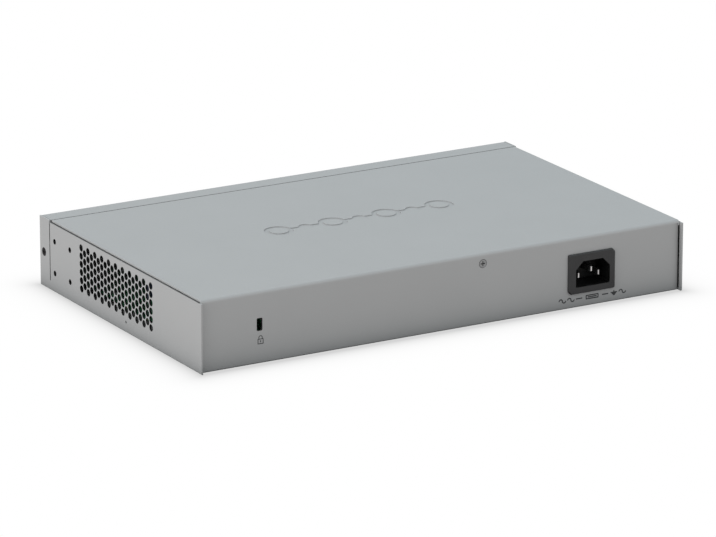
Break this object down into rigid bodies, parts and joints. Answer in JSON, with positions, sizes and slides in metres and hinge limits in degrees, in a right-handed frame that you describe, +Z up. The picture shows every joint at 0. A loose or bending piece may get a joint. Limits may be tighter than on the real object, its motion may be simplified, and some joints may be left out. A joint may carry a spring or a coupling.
{
  "type": "desktop network switch",
  "caption": "Low rectangular sheet-metal network switch with ports in front, vents on both sides and a mains inlet and lock slot at the rear.",
  "frame": {"origin": "centre of the case's plan, on the surface that the feet stand on", "axes": "+X across the case towards the lock slot side, +Y towards the rear face with the mains inlet, +Z up"},
  "size_m": [0.33, 0.205, 0.0439],
  "materials": {
    "case_paint": "fine textured grey powder coat",
    "plated_steel": "zinc plated",
    "painted_screw": "grey zinc",
    "black_screw": "black oxide",
    "foot_rubber": "matt",
    "black_plastic": "fine spark texture",
    "wire_sheath": "smooth",
    "circuit_board": "solder mask",
    "insulating_sheet": "film",
    "white_plastic": "natural nylon",
    "fuse_glass": "clear with metal caps",
    "ferrite": "sintered",
    "winding_tape": "polyester film",
    "capacitor_sleeve": "shrink sleeve",
    "bare_aluminium": "extruded",
    "chip_resin": "moulded epoxy",
    "gilt_contacts": "gold flash",
    "clear_lens": "clear acrylic"
  },
  "bodies": {
    "case": {"base_tray": "case_paint", "top_cover": "case_paint", "front_panel": "case_paint", "cover_rest_brackets": "plated_steel", "cover_screw": "painted_screw", "front_panel_screws": "black_screw", "lock_plate": "plated_steel", "rubber_feet": "foot_rubber", "inlet_housing": "black_plastic", "inlet_pins": "plated_steel", "inlet_leads": "wire_sheath", "psu_board": "circuit_board", "psu_insulator": "insulating_sheet", "psu_ac_connector": "white_plastic", "psu_dc_connector": "white_plastic", "psu_fuse": "fuse_glass", "psu_choke": "ferrite", "psu_film_capacitor": "winding_tape", "psu_bulk_capacitors": "capacitor_sleeve", "psu_output_capacitors": "capacitor_sleeve", "psu_heatsinks": "bare_aluminium", "psu_transistors": "chip_resin", "psu_transformer_core": "ferrite", "psu_transformer_coil": "winding_tape", "main_board": "circuit_board", "board_standoffs": "plated_steel", "board_screws": "plated_steel", "switch_chip": "chip_resin", "chip_heatsink": "bare_aluminium", "phy_chips": "chip_resin", "port_transformers": "chip_resin", "memory_chips": "chip_resin", "regulator_chips": "chip_resin", "board_inductors": "ferrite", "board_capacitors": "capacitor_sleeve", "power_header": "white_plastic", "fan_header": "white_plastic", "dc_harness": "wire_sheath", "port_shield_left": "plated_steel", "port_housing_left": "black_plastic", "port_lamps_left": "clear_lens", "port_contacts_left": "gilt_contacts", "port_shield_right": "plated_steel", "port_housing_right": "black_plastic", "port_lamps_right": "clear_lens", "port_contacts_right": "gilt_contacts", "uplink_cages": "plated_steel", "uplink_connectors": "black_plastic", "status_leds": "clear_lens", "status_light_pipes": "clear_lens", "light_pipe_bar": "black_plastic", "mode_switch": "black_plastic", "reset_switch": "black_plastic", "fan_frame": "black_plastic", "fan_screws": "plated_steel", "fan_cable": "wire_sheath"},
    "fan_rotor": {"fan_rotor": "black_plastic"},
    "mode_button": {"mode_button": "black_plastic"},
    "reset_button": {"reset_button": "black_plastic"}
  },
  "joints": [
    {"name": "fan_spin", "type": "hinge", "parent": "case", "child": "fan_rotor", "pos_m": [-0.154, -0.00375, 0.0217], "axis": [1, 0, 0], "continuous": true},
    {"name": "mode_press", "type": "slide", "parent": "case", "child": "mode_button", "axis": [0, 1, 0], "range_m": [0, 0.0005], "stiffness_N_per_m": 400},
    {"name": "reset_press", "type": "slide", "parent": "case", "child": "reset_button", "axis": [0, 1, 0], "range_m": [0, 0.0005], "stiffness_N_per_m": 400}
  ]
}
